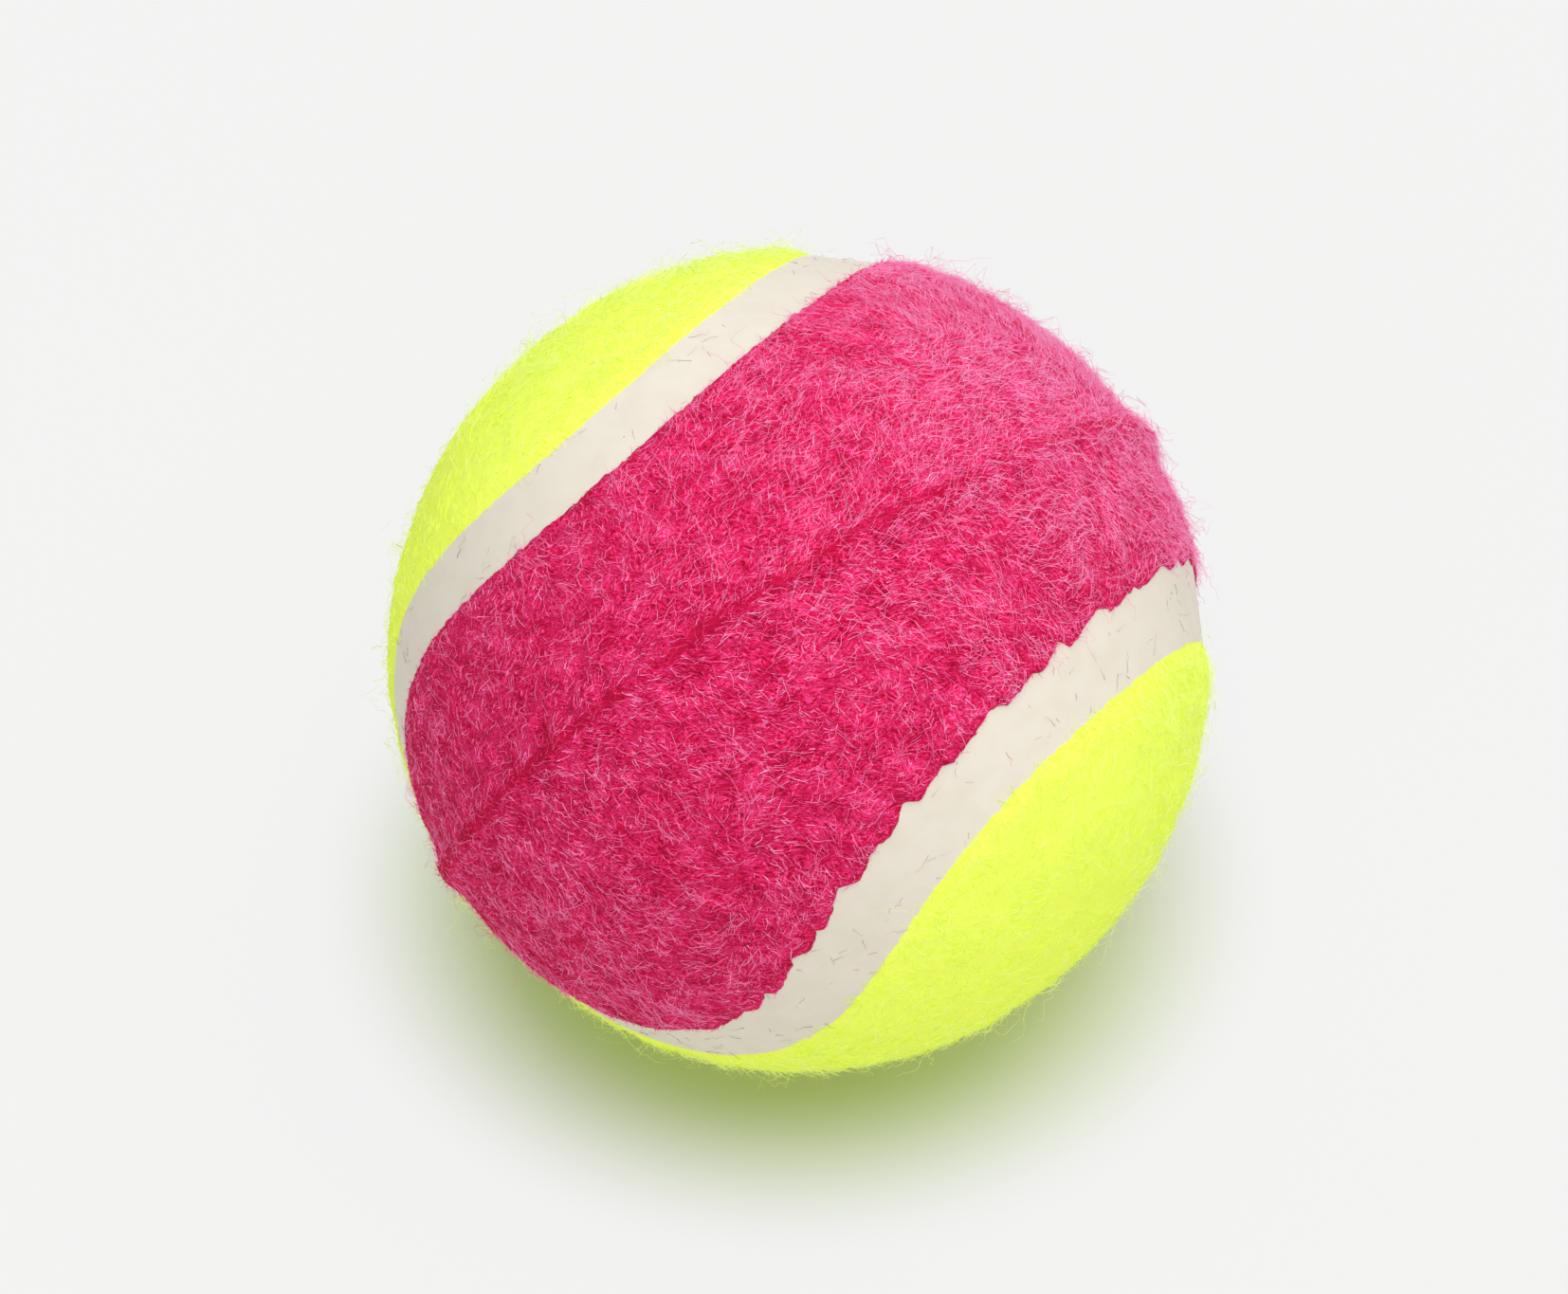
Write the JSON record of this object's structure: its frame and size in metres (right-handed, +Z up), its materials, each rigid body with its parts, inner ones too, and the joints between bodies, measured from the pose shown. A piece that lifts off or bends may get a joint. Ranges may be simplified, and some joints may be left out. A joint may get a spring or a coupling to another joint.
{
  "type": "tennis ball",
  "caption": "Hollow rubber-cored tennis ball, covered with pink and yellow dog-bone felt panels that meet along a broad off-white rubber seam.",
  "frame": {"origin": "centre of the ball", "axes": "+Z up as the ball lies on the floor, -Y towards the viewer, +X to the viewer's right"},
  "size_m": [0.067, 0.0668, 0.067],
  "materials": {
    "core_rubber": "matt moulded rubber",
    "cement": "dried rubber solution, slightly glossy",
    "pink_felt": "needled felt with a matted nap",
    "yellow_felt": "needled felt with a matted nap, fluorescent",
    "seam_rubber": "smooth moulded rubber"
  },
  "bodies": {
    "root": {"core_half_top": "core_rubber", "core_half_bottom": "core_rubber", "core_joint_cement": "cement", "core_coat": "cement", "pink_backing": "cement", "yellow_backing": "cement", "pink_felt": "pink_felt", "yellow_felt": "yellow_felt", "seam_rubber": "seam_rubber"}
  },
  "joints": []
}
